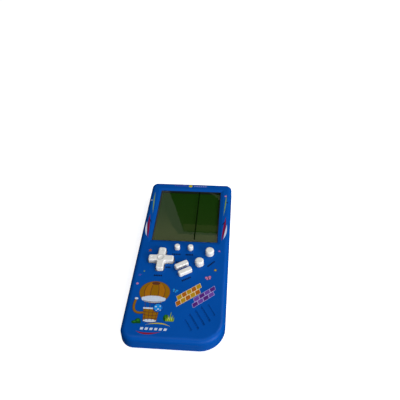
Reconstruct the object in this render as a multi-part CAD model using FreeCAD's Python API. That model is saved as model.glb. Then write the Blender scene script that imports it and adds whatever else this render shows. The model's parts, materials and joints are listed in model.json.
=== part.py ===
"""Handheld LCD block game: a flat two-shell case with a large screen over a cross pad and six keys.

Millimetres. +Z points out of the front face, +Y towards the screen end, and the origin lies on the flat
back under the middle of the case, which is how the game rests on a table.

The case splits at a seam low on its sides. The front shell carries the screen, the display, the board and
the keys, all hung from its inner face, and the rear shell carries two cells behind a sliding door.
"""

import FreeCAD, Part
import math
import os

from FreeCAD import Vector

# Case
BODY_WIDTH = 80.0
BODY_LENGTH = 178.0
SEAM_HEIGHT = 6.3
TOP_CORNER = 6.0
LEFT_CORNER = 11.0
RIGHT_CORNER = 20.0
FRONT_EDGE_RADIUS = 4.0
BACK_EDGE_RADIUS = 2.5
BACK_TAPER = 4.0
SIDE_DRAFT = 0.3
WALL = 1.8
FRONT_WALL = 1.6
BACK_WALL = 1.8
LIP_HEIGHT = 1.5
LIP_SHARE = 1.0
SEAM_BEVEL = 0.25
LIP_ROOT = 0.5
LIP_WALL_LAP = 0.2
BACK_RIB_THICKNESS = 1.0
BACK_RIB_DROP = 1.5
BACK_RIB_MARGIN = 14.0
SEAT_WALL = 0.5

# Clearances
FIT_GAP = 0.1
SLIDE_GAP = 0.15
KEY_GAP = 0.2
PAD_GAP = 0.85

# Cells and their bay
CELL_DIAMETER = 10.5
CELL_LENGTH = 44.5
CELL_NUB_LENGTH = 1.0
CELL_NUB_RADIUS = 1.9
CELL_SPACING = 0.5
CELL_ROOM = 0.2
BAY_SIDE_ROOM = 0.3
BAY_WALL = 1.2
BAY_END_SPACE = 7.0
DIVIDER_THICKNESS = 1.0
DIVIDER_END_SPACE = 2.0
TERMINAL_THICKNESS = 0.4
SPRING_LENGTH = 3.6
SPRING_WIRE = 0.5
SPRING_BASE_RADIUS = 3.4
SPRING_TURNS = 3.0
SPRING_TAPER = 0.35
CELL_EDGE_RADIUS = 0.5
PLATE_REACH_SHARE = 0.42

# Battery door
DOOR_THICKNESS = 1.6
DOOR_RECESS = 0.2
DOOR_TONGUE = 1.1
DOOR_TONGUE_THICKNESS = 0.8
DOOR_RAIL_HEIGHT = 1.6
DOOR_SIDE_LAP = 1.5
DOOR_END_GAP = 0.2
GRIP_RIDGES = 6
GRIP_PITCH = 2.2
GRIP_LENGTH = 12.0
GRIP_WIDTH = 1.0
GRIP_DEPTH = 0.4
GRIP_MARGIN = 6.0
ARROW_LENGTH = 3.6
ARROW_WIDTH = 6.4
ARROW_GAP = 2.0

# Screen
SIDE_MARGIN = 10.4
TOP_MARGIN = 11.6
KEY_FIELD_LENGTH = 42.2
WINDOW_BEVEL = 2.6
WINDOW_BEVEL_DEPTH = 0.8
BEZEL_UPSTAND = 0.4
BEZEL_LEDGE = 0.7
BEZEL_FLANGE = 1.5
BEZEL_DEPTH = 1.4
LENS_THICKNESS = 0.9
LENS_RECESS = 0.2
DISPLAY_MARGIN = 1.4
DISPLAY_LEDGE = 2.9
POLARISER_THICKNESS = 0.2
GLASS_THICKNESS = 0.9
REFLECTOR_THICKNESS = 0.3
FRAME_THICKNESS = 1.6
FRAME_BORDER = 4.5
FRAME_EAR_OFFSET = 3.6
DISPLAY_TOP_MARGIN = 1.1
DISPLAY_FOOT_MARGIN = 0.5
POLARISER_FOOT_MARGIN = 0.4
DISPLAY_RIB = 0.9
CONNECTOR_WIDTH = 2.0

# Board and rubber parts
BOARD_DROP = 5.8
BOARD_THICKNESS = 1.2
BOARD_CORNER = 1.0
BOARD_END_GAP = 0.3
BOARD_BOSS_GAP = 0.3
CONTACT_MARGIN = 0.3
CONTACT_THICKNESS = 0.1
WEB_THICKNESS = 0.8
WEB_WIDTH = 7.0
DOME_BASE_RADIUS = 2.9
DOME_TOP_RADIUS = 1.9
PILL_RADIUS = 1.3
PILL_THICKNESS = 0.5
PILL_SPARE = 0.05
DOME_WALL = 0.6
DOME_ROOF_WALL = 0.3
KEY_TRAVEL = 0.8

# Keys: sizes in plan, rise over the face, and the rounding of the crown as a share of the width
FLANGE_THICKNESS = 1.0
FLANGE_DROP = 3.0
FLANGE_MARGIN = 0.9
SLEEVE_WALL = 0.8
SMALL_KEY = 4.7
ROUND_KEY = 7.5
BAR_KEY_LENGTH = 11.9
BAR_KEY_WIDTH = 4.6
BAR_KEY_CORNER = 1.3
BAR_KEY_TURN = 32.0
SMALL_KEY_RISE = 4.0
ROUND_KEY_RISE = 4.8
BAR_KEY_RISE = 3.4
CROWN_SHARE = 0.2

# Cross pad
PAD_WIDTH = 21.4
PAD_LENGTH = 23.0
PAD_ARM = 6.2
PAD_TIP_RADIUS = 1.5
PAD_INNER_RADIUS = 1.8
PAD_LEAST_RADIUS = 0.3
PAD_RISE = 3.6
PAD_TOP_RADIUS = 1.0
PAD_DISH_RADIUS = 2.7
PAD_DISH_DEPTH = 0.5
PAD_RIM_WIDTH = 0.5
PAD_RIM_RISE = 0.25
PAD_RIM_ROUNDING = 0.2
PAD_MARK_LENGTH = 2.4
PAD_MARK_WIDTH = 3.0
PAD_MARK_MARGIN = 1.8
PAD_MARK_DEPTH = 0.25
PAD_DOME_OFFSET = 8.4
PAD_HUB_WALL = 1.2
PIVOT_RADIUS = 2.0
PIVOT_GAP = 0.1
PIVOT_SEAT_WALL = 0.9
PIVOT_SEAT_HEIGHT = 1.2
PIVOT_SEAT_GAP = 0.05
PIVOT_WEB_GAP = 0.5

# Sounder and its grille
SOUNDER_RADIUS = 10.5
SOUNDER_THICKNESS = 0.3
CERAMIC_RADIUS = 7.0
CERAMIC_THICKNESS = 0.2
SOUNDER_RING_WALL = 1.2
SOUNDER_CHAMBER = 0.5
GRILLE_LENGTHS = (11.5, 15.4, 15.4, 15.4, 12.0)
GRILLE_PITCH = 5.45
GRILLE_STEP = -0.85
GRILLE_TURN = -58.0
GROOVE_WIDTH = 1.9
GROOVE_DEPTH = 0.5
SLOT_WIDTH = 0.7

# Screws
BOSS_RADIUS = 2.8
SCREW_RADIUS = 1.3
SCREW_LENGTH = 9.0
HEAD_RADIUS = 2.2
HEAD_HEIGHT = 1.6
HEAD_RECESS = 1.6
SMALL_POST_RADIUS = 2.1
SMALL_SCREW_RADIUS = 0.9
SMALL_SCREW_LENGTH = 4.0
SMALL_HEAD_RADIUS = 1.7
SMALL_HEAD_HEIGHT = 1.0
BITE_GAP = 0.02
HOLE_SPARE = 0.5
SHANK_CLEARANCE = 0.15
HEAD_CLEARANCE = 0.2
FRAME_SCREW_BITE = 2.8
BOARD_SCREW_BITE = 3.2
SHANK_CHAMFER_SHARE = 0.4
HEAD_ROUNDING_SHARE = 0.5

# Heights, from the back up through the bay
DOOR_TOP = DOOR_RECESS + DOOR_THICKNESS
CELL_AXIS = DOOR_TOP + CELL_ROOM + CELL_DIAMETER / 2
ROOF_UNDERSIDE = CELL_AXIS + CELL_DIAMETER / 2 + CELL_ROOM
ROOF_TOP = ROOF_UNDERSIDE + BAY_WALL
FRONT_SPACE = 2.5
FRONT_INNER = ROOF_TOP + FRONT_SPACE
BODY_HEIGHT = FRONT_INNER + FRONT_WALL

# Heights, from the front down through the display and the keys
LENS_TOP = BODY_HEIGHT - WINDOW_BEVEL_DEPTH - LENS_RECESS
LENS_UNDERSIDE = LENS_TOP - LENS_THICKNESS
BEZEL_UNDERSIDE = FRONT_INNER - BEZEL_DEPTH
POLARISER_UNDERSIDE = BEZEL_UNDERSIDE - POLARISER_THICKNESS
FRONT_GLASS_UNDERSIDE = POLARISER_UNDERSIDE - GLASS_THICKNESS
REAR_GLASS_UNDERSIDE = FRONT_GLASS_UNDERSIDE - GLASS_THICKNESS
REFLECTOR_UNDERSIDE = REAR_GLASS_UNDERSIDE - REFLECTOR_THICKNESS
FRAME_UNDERSIDE = REFLECTOR_UNDERSIDE - FRAME_THICKNESS
BOARD_TOP = FRONT_INNER - BOARD_DROP
BOARD_UNDERSIDE = BOARD_TOP - BOARD_THICKNESS
WEB_TOP = BOARD_TOP + WEB_THICKNESS
FLANGE_UNDERSIDE = FRONT_INNER - FLANGE_DROP
FLANGE_TOP = FLANGE_UNDERSIDE + FLANGE_THICKNESS
PIVOT_HEIGHT = BOARD_TOP + PIVOT_RADIUS
CONTACT_TOP = BOARD_TOP + CONTACT_THICKNESS
PILL_UNDERSIDE = CONTACT_TOP + KEY_TRAVEL + PILL_SPARE

# Places in plan
HALF_WIDTH = BODY_WIDTH / 2
HALF_LENGTH = BODY_LENGTH / 2
CELL_OFFSET = (CELL_DIAMETER + CELL_SPACING) / 2
BAY_HALF = CELL_OFFSET + CELL_DIAMETER / 2 + BAY_SIDE_ROOM
BAY_LENGTH = CELL_LENGTH + SPRING_LENGTH + 2 * TERMINAL_THICKNESS + 4 * FIT_GAP
BAY_LOW = -HALF_LENGTH + BAY_END_SPACE
BAY_HIGH = BAY_LOW + BAY_LENGTH
DOOR_HALF = BAY_HALF + DOOR_SIDE_LAP
DOOR_HIGH = BAY_HIGH + BAY_WALL - DOOR_END_GAP
WINDOW_HALF = HALF_WIDTH - SIDE_MARGIN
WINDOW_LOW = BAY_HIGH + BAY_WALL + KEY_FIELD_LENGTH
WINDOW_HIGH = HALF_LENGTH - TOP_MARGIN
DISPLAY_HALF = WINDOW_HALF + DISPLAY_MARGIN
DISPLAY_HIGH = WINDOW_HIGH + DISPLAY_TOP_MARGIN
DISPLAY_LOW = WINDOW_LOW - DISPLAY_FOOT_MARGIN - DISPLAY_LEDGE
PAD_X = -HALF_WIDTH + 22.6
PAD_Y = WINDOW_LOW - 22.8
ROUND_KEY_X = HALF_WIDTH - 16.4
SOUNDER_X = HALF_WIDTH - 20.2
SOUNDER_Y = -HALF_LENGTH + 21.9
BOARD_LOW = BAY_HIGH + BAY_WALL + BOARD_END_GAP
BOARD_HIGH = WINDOW_LOW - BOARD_END_GAP
BOARD_LEFT = -HALF_WIDTH + 11.5
BOARD_RIGHT = HALF_WIDTH - 11.0

# Every key but the pad, as (x, y, length, width, turn, rise)
KEYS = {
    "on_off_key": (-5.0, WINDOW_LOW - 9.0, SMALL_KEY, SMALL_KEY, 0.0, SMALL_KEY_RISE),
    "reset_key": (6.6, WINDOW_LOW - 9.0, SMALL_KEY, SMALL_KEY, 0.0, SMALL_KEY_RISE),
    "turn_key_upper": (ROUND_KEY_X, WINDOW_LOW - 13.2, ROUND_KEY, ROUND_KEY, 0.0, ROUND_KEY_RISE),
    "turn_key_lower": (ROUND_KEY_X - 8.0, WINDOW_LOW - 25.0, ROUND_KEY, ROUND_KEY, 0.0, ROUND_KEY_RISE),
    "start_key": (0.8, WINDOW_LOW - 28.4, BAR_KEY_LENGTH, BAR_KEY_WIDTH, BAR_KEY_TURN, BAR_KEY_RISE),
    "sound_key": (4.4, WINDOW_LOW - 35.2, BAR_KEY_LENGTH, BAR_KEY_WIDTH, BAR_KEY_TURN, BAR_KEY_RISE),
}
PAD_DOMES = [
    (PAD_X + PAD_DOME_OFFSET, PAD_Y),
    (PAD_X, PAD_Y + PAD_DOME_OFFSET),
    (PAD_X - PAD_DOME_OFFSET, PAD_Y),
    (PAD_X, PAD_Y - PAD_DOME_OFFSET),
]
KEY_DOMES = [(key[0], key[1]) for key in KEYS.values()]
CASE_SCREWS = [
    (-HALF_WIDTH + 9.5, HALF_LENGTH - 7.2),
    (HALF_WIDTH - 9.5, HALF_LENGTH - 7.2),
    (-HALF_WIDTH + 7.6, WINDOW_LOW - 6.4),
    (HALF_WIDTH - 7.6, WINDOW_LOW - 6.4),
    (-HALF_WIDTH + 7.8, -HALF_LENGTH + 17.0),
    (HALF_WIDTH - 7.8, -HALF_LENGTH + 29.0),
]
FRAME_SCREWS = [
    (side * (DISPLAY_HALF + FRAME_EAR_OFFSET), y)
    for side in (-1, 1)
    for y in (WINDOW_LOW + 9.5, WINDOW_HIGH - 9.5)
]
BOARD_SCREWS = [
    (BOARD_LEFT + 2.6, BOARD_HIGH - 6.8),
    (BOARD_RIGHT - 1.7, BOARD_HIGH - 5.2),
    (BOARD_LEFT + 2.6, BOARD_LOW + 2.6),
    (BOARD_RIGHT - 2.6, BOARD_LOW + 2.6),
]


def block(x0, x1, y0, y1, z0, z1):
    """A box between two corners."""
    return Part.makeBox(x1 - x0, y1 - y0, z1 - z0, Vector(x0, y0, z0))


def rod(x, y, radius, z0, z1):
    """An upright cylinder."""
    return Part.makeCylinder(radius, z1 - z0, Vector(x, y, z0))


def joined(pieces):
    """One clean solid from pieces that touch."""
    return pieces[0].multiFuse(pieces[1:]).removeSplitter()


def turned(shape, x, y, degrees):
    """The shape turned about an upright axis through x, y."""
    return shape.rotate(Vector(x, y, 0), Vector(0, 0, 1), degrees)


def edges_at(shape, z):
    """The edges that lie level at height z."""
    found = []
    for edge in shape.Edges:
        box = edge.BoundBox
        if abs(box.ZMin - z) < 1e-4 and abs(box.ZMax - z) < 1e-4:
            found.append(edge)
    return found


def round_edges(shape):
    """The circular edges of a shape."""
    return [edge for edge in shape.Edges if edge.Curve.TypeId == "Part::GeomCircle"]


def rounded_outline(x0, x1, y0, y1, radii, z):
    """A closed wire round a rectangle; radii run anticlockwise from the corner at x1, y1."""
    corners = [(x1, y1, 0), (x0, y1, 90), (x0, y0, 180), (x1, y0, 270)]
    ends = []
    edges = []
    for (x, y, start), radius in zip(corners, radii):
        inward = math.radians(start + 45)
        reach = radius * math.sqrt(2)
        centre = Vector(x - reach * math.cos(inward), y - reach * math.sin(inward), z)
        arc = Part.makeCircle(radius, centre, Vector(0, 0, 1), start, start + 90)
        ends.append((arc.Vertexes[0].Point, arc.Vertexes[-1].Point, arc))
    for i, (first, last, arc) in enumerate(ends):
        edges.append(arc)
        edges.append(Part.makeLine(last, ends[(i + 1) % 4][0]))
    return Part.Wire(edges)


def rounded_block(x0, x1, y0, y1, radius, z0, z1):
    """A box with rounded upright corners."""
    outline = rounded_outline(x0, x1, y0, y1, [radius] * 4, z0)
    return Part.Face(outline).extrude(Vector(0, 0, z1 - z0))


def case_outline(inset, z):
    """The plan outline of the case, drawn in by inset."""
    radii = [TOP_CORNER, TOP_CORNER, LEFT_CORNER, RIGHT_CORNER]
    return rounded_outline(
        -HALF_WIDTH + inset,
        HALF_WIDTH - inset,
        -HALF_LENGTH + inset,
        HALF_LENGTH - inset,
        [radius - inset for radius in radii],
        z,
    )


def case_slab(low_inset, z0, high_inset, z1):
    """A solid that runs between two case outlines."""
    return Part.makeLoft([case_outline(low_inset, z0), case_outline(high_inset, z1)], True, True)


def stadium(x, y, length, width, turn, z0, z1):
    """An upright prism with straight sides and round ends."""
    half = (length - width) / 2
    radius = width / 2
    up = Vector(0, 0, 1)
    right = Part.makeCircle(radius, Vector(x + half, y, z0), up, -90, 90)
    left = Part.makeCircle(radius, Vector(x - half, y, z0), up, 90, 270)
    above = Part.makeLine(right.Vertexes[-1].Point, left.Vertexes[0].Point)
    below = Part.makeLine(left.Vertexes[-1].Point, right.Vertexes[0].Point)
    shape = Part.Face(Part.Wire([right, above, left, below])).extrude(Vector(0, 0, z1 - z0))
    return turned(shape, x, y, turn)


def key_prism(key, grow, z0, z1):
    """The plan shape of a key, grown all round: a disc, or a turned bar with rounded corners."""
    x, y, length, width, turn, _ = key
    if length == width:
        return rod(x, y, width / 2 + grow, z0, z1)
    along = length / 2 + grow
    across = width / 2 + grow
    bar = rounded_block(x - along, x + along, y - across, y + across, BAR_KEY_CORNER + grow, z0, z1)
    return turned(bar, x, y, turn)


def pad_reach(quarter):
    """How far an arm of the pad reaches; quarters count anticlockwise from +X."""
    return (PAD_WIDTH, PAD_LENGTH)[quarter % 2] / 2


def cross_outline(grow, z):
    """The pad's cross-shaped outline, grown all round, with round tips and round inner corners."""
    arm = PAD_ARM / 2 + grow
    tip_radius = PAD_TIP_RADIUS + grow
    inner_radius = max(PAD_INNER_RADIUS - grow, PAD_LEAST_RADIUS)
    kinds = [tip_radius, tip_radius, inner_radius]
    path = []
    for quarter in range(4):
        tip = pad_reach(quarter) + grow
        points = [(tip, -arm), (tip, arm), (arm, arm)]
        c = round(math.cos(quarter * math.pi / 2))
        s = round(math.sin(quarter * math.pi / 2))
        for (px, py), radius in zip(points, kinds):
            path.append((Vector(PAD_X + px * c - py * s, PAD_Y + px * s + py * c, z), radius))
    edges = []
    count = len(path)
    previous_end = None
    first_start = None
    for i, (corner, radius) in enumerate(path):
        before = (path[i - 1][0] - corner).normalize()
        after = (path[(i + 1) % count][0] - corner).normalize()
        start = corner + before * radius
        end = corner + after * radius
        middle = corner + (before + after) * radius * (1 - math.sqrt(0.5))
        if previous_end is None:
            first_start = start
        else:
            edges.append(Part.makeLine(previous_end, start))
        edges.append(Part.Arc(start, middle, end).toShape())
        previous_end = end
    edges.append(Part.makeLine(previous_end, first_start))
    return Part.Wire(edges)


def cross_prism(grow, z0, z1):
    """The pad's plan shape, grown all round."""
    return Part.Face(cross_outline(grow, z0)).extrude(Vector(0, 0, z1 - z0))


def revolved(x, y, profile):
    """A solid of revolution about an upright axis, from (radius, z) corners."""
    points = [Vector(x + r, y, z) for r, z in profile]
    wire = Part.makePolygon(points + points[:1])
    return Part.Face(wire).revolve(Vector(x, y, 0), Vector(0, 0, 1), 360)


def grille_slots(width, z0, z1):
    """The slanted slots of the sounder grille, side by side, each a step further along than the last."""
    slots = []
    middle = (len(GRILLE_LENGTHS) - 1) / 2
    for i, length in enumerate(GRILLE_LENGTHS):
        x = SOUNDER_X + (i - middle) * GRILLE_STEP
        y = SOUNDER_Y + (i - middle) * GRILLE_PITCH
        slot = stadium(x, y, length - GROOVE_WIDTH + width, width, 0, z0, z1)
        slots.append(turned(slot, SOUNDER_X, SOUNDER_Y, GRILLE_TURN))
    return slots


def window_block(grow, z0, z1):
    """A block over the window opening, grown all round."""
    return block(
        -WINDOW_HALF - grow, WINDOW_HALF + grow, WINDOW_LOW - grow, WINDOW_HIGH + grow, z0, z1
    )


def front_shell():
    """The front half of the case, with its window, key sleeves, grille, bosses and posts."""
    outer = case_slab(0, SEAM_HEIGHT, SIDE_DRAFT, BODY_HEIGHT)
    outer = outer.makeFillet(FRONT_EDGE_RADIUS, edges_at(outer, BODY_HEIGHT))
    hollow = case_slab(WALL, SEAM_HEIGHT, WALL + SIDE_DRAFT, FRONT_INNER)
    hollow = hollow.makeFillet(FRONT_EDGE_RADIUS - WALL, edges_at(hollow, FRONT_INNER))
    shell = outer.cut(hollow)

    additions = []
    root = FRONT_INNER + FRONT_WALL / 2
    for x, y in CASE_SCREWS:
        additions.append(rod(x, y, BOSS_RADIUS, SEAM_HEIGHT, root))
    for x, y in FRAME_SCREWS:
        additions.append(rod(x, y, SMALL_POST_RADIUS, REFLECTOR_UNDERSIDE, root))
    for x, y in BOARD_SCREWS:
        additions.append(rod(x, y, SMALL_POST_RADIUS, BOARD_TOP, root))
    for key in KEYS.values():
        additions.append(key_prism(key, KEY_GAP + SLEEVE_WALL, FLANGE_TOP + FIT_GAP, root))
    ring_radius = SOUNDER_RADIUS + FIT_GAP + SOUNDER_RING_WALL
    additions.append(rod(SOUNDER_X, SOUNDER_Y, ring_radius, ROOF_TOP + FIT_GAP, root))
    rib_out = DISPLAY_RIB + 2 * FIT_GAP
    additions.append(
        block(
            -DISPLAY_HALF - rib_out,
            DISPLAY_HALF + rib_out,
            DISPLAY_LOW - rib_out,
            DISPLAY_HIGH + rib_out,
            REAR_GLASS_UNDERSIDE,
            root,
        )
    )
    shell = shell.multiFuse([piece.common(outer) for piece in additions])

    cuts = []
    cuts.append(
        block(
            -DISPLAY_HALF - 2 * FIT_GAP,
            DISPLAY_HALF + 2 * FIT_GAP,
            DISPLAY_LOW - 2 * FIT_GAP,
            DISPLAY_HIGH + 2 * FIT_GAP,
            SEAM_HEIGHT,
            FRONT_INNER,
        )
    )
    bevel_foot = BODY_HEIGHT - WINDOW_BEVEL_DEPTH
    cuts.append(window_block(0, SEAM_HEIGHT, bevel_foot))
    cuts.append(
        Part.makeLoft([window_wire(0, bevel_foot), window_wire(WINDOW_BEVEL, BODY_HEIGHT)], True, True)
    )
    cuts.append(rod(SOUNDER_X, SOUNDER_Y, SOUNDER_RADIUS + FIT_GAP, SEAM_HEIGHT, FRONT_INNER))
    for key in KEYS.values():
        cuts.append(key_prism(key, KEY_GAP, SEAM_HEIGHT, BODY_HEIGHT + 1))
    cuts.append(cross_prism(PAD_GAP, SEAM_HEIGHT, BODY_HEIGHT + 1))
    for x, y in CASE_SCREWS:
        depth = SCREW_LENGTH - (SEAM_HEIGHT - HEAD_RECESS - HEAD_HEIGHT) + HOLE_SPARE
        cuts.append(rod(x, y, SCREW_RADIUS + BITE_GAP, SEAM_HEIGHT - 1, SEAM_HEIGHT + depth))
    for x, y in FRAME_SCREWS:
        z = REFLECTOR_UNDERSIDE
        cuts.append(rod(x, y, SMALL_SCREW_RADIUS + BITE_GAP, z - 1, z + FRAME_SCREW_BITE))
    for x, y in BOARD_SCREWS:
        z = BOARD_TOP
        cuts.append(rod(x, y, SMALL_SCREW_RADIUS + BITE_GAP, z - 1, z + BOARD_SCREW_BITE))
    cuts += grille_slots(GROOVE_WIDTH, BODY_HEIGHT - GROOVE_DEPTH, BODY_HEIGHT + 1)
    cuts += grille_slots(SLOT_WIDTH, FRONT_INNER - SOUNDER_CHAMBER, BODY_HEIGHT)[1:-1]
    rebate = case_slab(LIP_SHARE, SEAM_HEIGHT - 1, LIP_SHARE, SEAM_HEIGHT + LIP_HEIGHT + FIT_GAP)
    core = case_slab(WALL + LIP_ROOT, SEAM_HEIGHT - 2, WALL + LIP_ROOT, BODY_HEIGHT)
    cuts.append(rebate.cut(core))
    shell = shell.cut(cuts)
    return seam_bevelled(shell)


def window_wire(grow, z):
    """The window's outline at height z, grown all round."""
    return Part.makePolygon(
        [
            Vector(x, y, z)
            for x, y in (
                (-WINDOW_HALF - grow, WINDOW_LOW - grow),
                (WINDOW_HALF + grow, WINDOW_LOW - grow),
                (WINDOW_HALF + grow, WINDOW_HIGH + grow),
                (-WINDOW_HALF - grow, WINDOW_HIGH + grow),
                (-WINDOW_HALF - grow, WINDOW_LOW - grow),
            )
        ]
    )


def seam_bevelled(shell):
    """A shell with the small bevel that both shells have along their outer seam edge."""
    reach = 2 * SEAM_BEVEL
    band = case_slab(-1, SEAM_HEIGHT - reach, -1, SEAM_HEIGHT + reach)
    waist = case_slab(0, SEAM_HEIGHT - reach, reach, SEAM_HEIGHT)
    crown = case_slab(reach, SEAM_HEIGHT, 0, SEAM_HEIGHT + reach)
    groove = band.cut(waist).cut(crown)
    return shell.cut(groove)


def rear_shell():
    """The rear half of the case, with the cell bay, the door's rails, the lip and the screw seats."""
    outer = case_slab(BACK_TAPER, 0, 0, SEAM_HEIGHT)
    outer = outer.makeFillet(BACK_EDGE_RADIUS, edges_at(outer, 0))
    low_inset = WALL + BACK_TAPER * (1 - BACK_WALL / SEAM_HEIGHT)
    hollow = case_slab(low_inset, BACK_WALL, WALL, SEAM_HEIGHT)
    shell = outer.cut(hollow)

    lip_inset = LIP_SHARE + FIT_GAP
    tongue = case_slab(lip_inset, SEAM_HEIGHT - LIP_ROOT, lip_inset, SEAM_HEIGHT + LIP_HEIGHT)
    tongue = tongue.cut(case_slab(WALL + LIP_WALL_LAP, 0, WALL + LIP_WALL_LAP, BODY_HEIGHT))
    seats = [rod(x, y, BOSS_RADIUS + SEAT_WALL, 0, SEAM_HEIGHT).common(outer) for x, y in CASE_SCREWS]
    bay_outer = block(
        -BAY_HALF - BAY_WALL,
        BAY_HALF + BAY_WALL,
        BAY_LOW - BAY_WALL,
        BAY_HIGH + BAY_WALL,
        BACK_WALL / 2,
        ROOF_TOP,
    )
    rails = block(
        -DOOR_HALF - DOOR_TONGUE - BAY_WALL,
        DOOR_HALF + DOOR_TONGUE + BAY_WALL,
        -HALF_LENGTH,
        DOOR_HIGH + 2 * BAY_WALL,
        BACK_WALL / 2,
        DOOR_TOP + FIT_GAP + DOOR_RAIL_HEIGHT,
    ).common(outer)
    ribs = []
    rib_half = BACK_RIB_THICKNESS / 2
    rib_top = SEAM_HEIGHT - BACK_RIB_DROP
    for y in (WINDOW_LOW + BACK_RIB_MARGIN, (WINDOW_LOW + WINDOW_HIGH) / 2, WINDOW_HIGH - BACK_RIB_MARGIN):
        rib = block(-HALF_WIDTH, HALF_WIDTH, y - rib_half, y + rib_half, BACK_WALL / 2, rib_top)
        ribs.append(rib.common(outer))
    shell = shell.multiFuse([tongue, bay_outer, rails] + seats + ribs)

    cuts = []
    cuts.append(block(-BAY_HALF, BAY_HALF, BAY_LOW, BAY_HIGH, -1, ROOF_UNDERSIDE))
    door_space = DOOR_TOP + FIT_GAP
    door_end = DOOR_HIGH + FIT_GAP
    panel_half = DOOR_HALF + SLIDE_GAP
    cuts.append(block(-panel_half, panel_half, -HALF_LENGTH - 1, door_end, -1, door_space))
    groove_low = DOOR_TOP - DOOR_TONGUE_THICKNESS - FIT_GAP
    groove_half = DOOR_HALF + DOOR_TONGUE + SLIDE_GAP
    cuts.append(block(-groove_half, groove_half, -HALF_LENGTH - 1, door_end, groove_low, door_space))
    for x, y in CASE_SCREWS:
        cuts.append(rod(x, y, HEAD_RADIUS + HEAD_CLEARANCE, -1, HEAD_RECESS + HEAD_HEIGHT))
        cuts.append(rod(x, y, SCREW_RADIUS + SHANK_CLEARANCE, 0, SEAM_HEIGHT + 1))
    shell = shell.cut(cuts)

    rib_drop = CELL_DIAMETER / 4
    divider = block(
        -DIVIDER_THICKNESS / 2,
        DIVIDER_THICKNESS / 2,
        BAY_LOW + DIVIDER_END_SPACE,
        BAY_HIGH - DIVIDER_END_SPACE,
        ROOF_UNDERSIDE - rib_drop,
        ROOF_UNDERSIDE + BAY_WALL / 2,
    )
    return seam_bevelled(shell.fuse(divider))


def battery_door():
    """The sliding door: a flush panel with side tongues, thumb ridges and a shaped end."""
    case = case_slab(BACK_TAPER, 0, 0, SEAM_HEIGHT)
    case = case.makeFillet(BACK_EDGE_RADIUS, edges_at(case, 0))
    panel = block(-DOOR_HALF, DOOR_HALF, -HALF_LENGTH, DOOR_HIGH, DOOR_RECESS, DOOR_TOP)
    tongues = block(
        -DOOR_HALF - DOOR_TONGUE,
        DOOR_HALF + DOOR_TONGUE,
        -HALF_LENGTH,
        DOOR_HIGH,
        DOOR_TOP - DOOR_TONGUE_THICKNESS,
        DOOR_TOP,
    )
    door = joined([panel, tongues]).common(case)
    grip = []
    first = -HALF_LENGTH + BACK_TAPER + GRIP_MARGIN
    floor = DOOR_RECESS + GRIP_DEPTH
    half = GRIP_LENGTH / 2
    for i in range(GRIP_RIDGES):
        low = first + i * GRIP_PITCH - GRIP_WIDTH / 2
        grip.append(block(-half, half, low, low + GRIP_WIDTH, 0, floor))
    tip = Vector(0, first + GRIP_RIDGES * GRIP_PITCH + ARROW_GAP, 0)
    left = tip + Vector(-ARROW_WIDTH / 2, ARROW_LENGTH, 0)
    right = tip + Vector(ARROW_WIDTH / 2, ARROW_LENGTH, 0)
    grip.append(Part.Face(Part.makePolygon([left, right, tip, left])).extrude(Vector(0, 0, floor)))
    return door.cut(grip)


def screen_bezel():
    """The dark frame that holds the lens in the window and stands on the display."""
    lens_room = WINDOW_HALF - FIT_GAP - BEZEL_UPSTAND
    flange = window_block(BEZEL_FLANGE - 2 * FIT_GAP, BEZEL_UNDERSIDE, FRONT_INNER)
    flange = flange.common(
        block(-BODY_WIDTH, BODY_WIDTH, WINDOW_LOW - 1.2, WINDOW_HIGH + 1.0, 0, BODY_HEIGHT)
    )
    upstand = window_block(-FIT_GAP, FRONT_INNER - 0.5, LENS_TOP)
    seat = window_block(lens_room - WINDOW_HALF, LENS_UNDERSIDE, BODY_HEIGHT)
    opening = window_block(lens_room - WINDOW_HALF - BEZEL_LEDGE, 0, BODY_HEIGHT)
    return joined([flange, upstand]).cut([seat, opening])


def screen_window():
    """The clear lens."""
    grow = -2 * FIT_GAP - BEZEL_UPSTAND
    return window_block(grow, LENS_UNDERSIDE, LENS_TOP)


def display_layer(low, z0, z1):
    """One layer of the display stack, from its lower end to the shared upper end."""
    return block(-DISPLAY_HALF, DISPLAY_HALF, low, DISPLAY_HIGH, z0, z1)


def lcd_polariser():
    """The film over the front glass."""
    return display_layer(WINDOW_LOW - POLARISER_FOOT_MARGIN, POLARISER_UNDERSIDE, BEZEL_UNDERSIDE)


def lcd_front_glass():
    """The front glass, with the ledge that carries the display's contacts."""
    return display_layer(DISPLAY_LOW, FRONT_GLASS_UNDERSIDE, POLARISER_UNDERSIDE)


def lcd_rear_glass():
    """The rear glass, shorter by the ledge."""
    return display_layer(DISPLAY_LOW + DISPLAY_LEDGE, REAR_GLASS_UNDERSIDE, FRONT_GLASS_UNDERSIDE)


def lcd_reflector():
    """The foil behind the display."""
    return display_layer(DISPLAY_LOW + DISPLAY_LEDGE, REFLECTOR_UNDERSIDE, REAR_GLASS_UNDERSIDE)


def lcd_connector():
    """The rubber strip that joins the glass ledge to the board."""
    y = DISPLAY_LOW + FIT_GAP
    return block(
        BOARD_LEFT + 2, BOARD_RIGHT - 2, y, y + CONNECTOR_WIDTH, BOARD_TOP, FRONT_GLASS_UNDERSIDE
    )


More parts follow.
